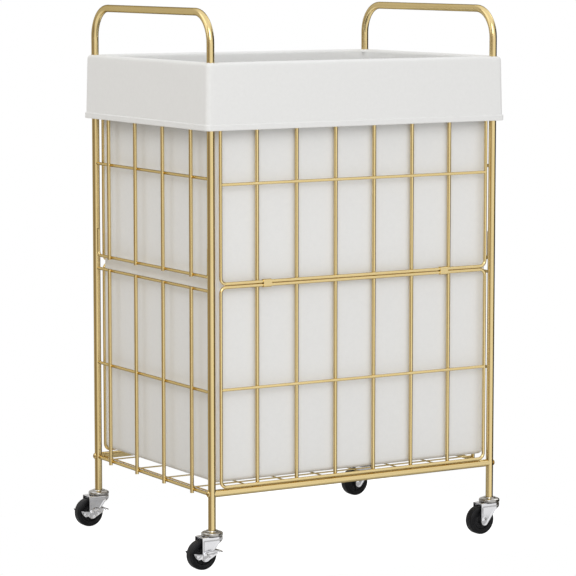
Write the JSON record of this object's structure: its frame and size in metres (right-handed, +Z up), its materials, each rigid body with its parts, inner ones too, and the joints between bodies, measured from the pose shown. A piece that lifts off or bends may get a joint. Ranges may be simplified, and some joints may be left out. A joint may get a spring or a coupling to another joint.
{
  "type": "rolling laundry hamper",
  "caption": "Rolling laundry hamper: looped gold tube side frames, wire grid panels, open fabric bag with a folded cuff, and swivel casters, brakes on one side.",
  "frame": {"origin": "on the floor, midway between the four legs", "axes": "+Z up, the front panel faces -Y, +X to the right seen from the front; the casters trail towards -X at rest"},
  "size_m": [0.6192, 0.446, 0.9194],
  "materials": {
    "gold_paint": "satin gold metallic paint",
    "bolt_metal": "satin gold, dome heads",
    "inner_steel": "plain",
    "caster_zinc": "bright zinc plate",
    "wheel_hub": "moulded",
    "wheel_tyre": "satin",
    "bag_fabric": "fine plain weave"
  },
  "bodies": {
    "frame": {"left_side_frame": "gold_paint", "right_side_frame": "gold_paint", "left_upper_grid": "gold_paint", "left_lower_grid": "gold_paint", "right_upper_grid": "gold_paint", "right_lower_grid": "gold_paint", "front_bottom_rail": "gold_paint", "front_top_rail": "gold_paint", "back_bottom_rail": "gold_paint", "back_top_rail": "gold_paint", "rail_bolts": "bolt_metal", "rail_inserts": "inner_steel", "front_upper_panel": "gold_paint", "front_lower_panel": "gold_paint", "back_upper_panel": "gold_paint", "back_lower_panel": "gold_paint", "panel_clips": "gold_paint", "bottom_shelf": "gold_paint", "bag_front": "bag_fabric", "bag_back": "bag_fabric", "bag_left": "bag_fabric", "bag_right": "bag_fabric", "bag_floor": "bag_fabric", "cuff_front": "bag_fabric", "cuff_back": "bag_fabric", "cuff_left": "bag_fabric", "cuff_right": "bag_fabric", "stem_sockets": "inner_steel", "swivel_balls": "inner_steel", "front_left_stem": "caster_zinc", "front_right_stem": "caster_zinc", "back_left_stem": "caster_zinc", "back_right_stem": "caster_zinc"},
    "front_left_caster": {"front_left_fork": "caster_zinc", "front_left_axle": "caster_zinc"},
    "front_left_wheel": {"front_left_hub": "wheel_hub", "front_left_tyre": "wheel_tyre"},
    "front_left_brake_lever": {"front_left_brake": "caster_zinc"},
    "front_right_caster": {"front_right_fork": "caster_zinc", "front_right_axle": "caster_zinc"},
    "front_right_wheel": {"front_right_hub": "wheel_hub", "front_right_tyre": "wheel_tyre"},
    "back_left_caster": {"back_left_fork": "caster_zinc", "back_left_axle": "caster_zinc"},
    "back_left_wheel": {"back_left_hub": "wheel_hub", "back_left_tyre": "wheel_tyre"},
    "back_left_brake_lever": {"back_left_brake": "caster_zinc"},
    "back_right_caster": {"back_right_fork": "caster_zinc", "back_right_axle": "caster_zinc"},
    "back_right_wheel": {"back_right_hub": "wheel_hub", "back_right_tyre": "wheel_tyre"}
  },
  "joints": [
    {"name": "front_left_swivel", "type": "hinge", "parent": "frame", "child": "front_left_caster", "pos_m": [-0.278, -0.205, 0.055], "axis": [0, 0, 1], "continuous": true},
    {"name": "front_left_wheel_spin", "type": "hinge", "parent": "front_left_caster", "child": "front_left_wheel", "pos_m": [-0.298, -0.205, 0.025], "axis": [0, 1, 0], "continuous": true},
    {"name": "front_left_brake_press", "type": "hinge", "parent": "front_left_caster", "child": "front_left_brake_lever", "pos_m": [-0.298, -0.205, 0.025], "axis": [0, 1, 0], "range_deg": [0, 14]},
    {"name": "front_right_swivel", "type": "hinge", "parent": "frame", "child": "front_right_caster", "pos_m": [0.278, -0.205, 0.055], "axis": [0, 0, 1], "continuous": true},
    {"name": "front_right_wheel_spin", "type": "hinge", "parent": "front_right_caster", "child": "front_right_wheel", "pos_m": [0.258, -0.205, 0.025], "axis": [0, 1, 0], "continuous": true},
    {"name": "back_left_swivel", "type": "hinge", "parent": "frame", "child": "back_left_caster", "pos_m": [-0.278, 0.205, 0.055], "axis": [0, 0, 1], "continuous": true},
    {"name": "back_left_wheel_spin", "type": "hinge", "parent": "back_left_caster", "child": "back_left_wheel", "pos_m": [-0.298, 0.205, 0.025], "axis": [0, 1, 0], "continuous": true},
    {"name": "back_left_brake_press", "type": "hinge", "parent": "back_left_caster", "child": "back_left_brake_lever", "pos_m": [-0.298, 0.205, 0.025], "axis": [0, 1, 0], "range_deg": [0, 14]},
    {"name": "back_right_swivel", "type": "hinge", "parent": "frame", "child": "back_right_caster", "pos_m": [0.278, 0.205, 0.055], "axis": [0, 0, 1], "continuous": true},
    {"name": "back_right_wheel_spin", "type": "hinge", "parent": "back_right_caster", "child": "back_right_wheel", "pos_m": [0.258, 0.205, 0.025], "axis": [0, 1, 0], "continuous": true}
  ]
}
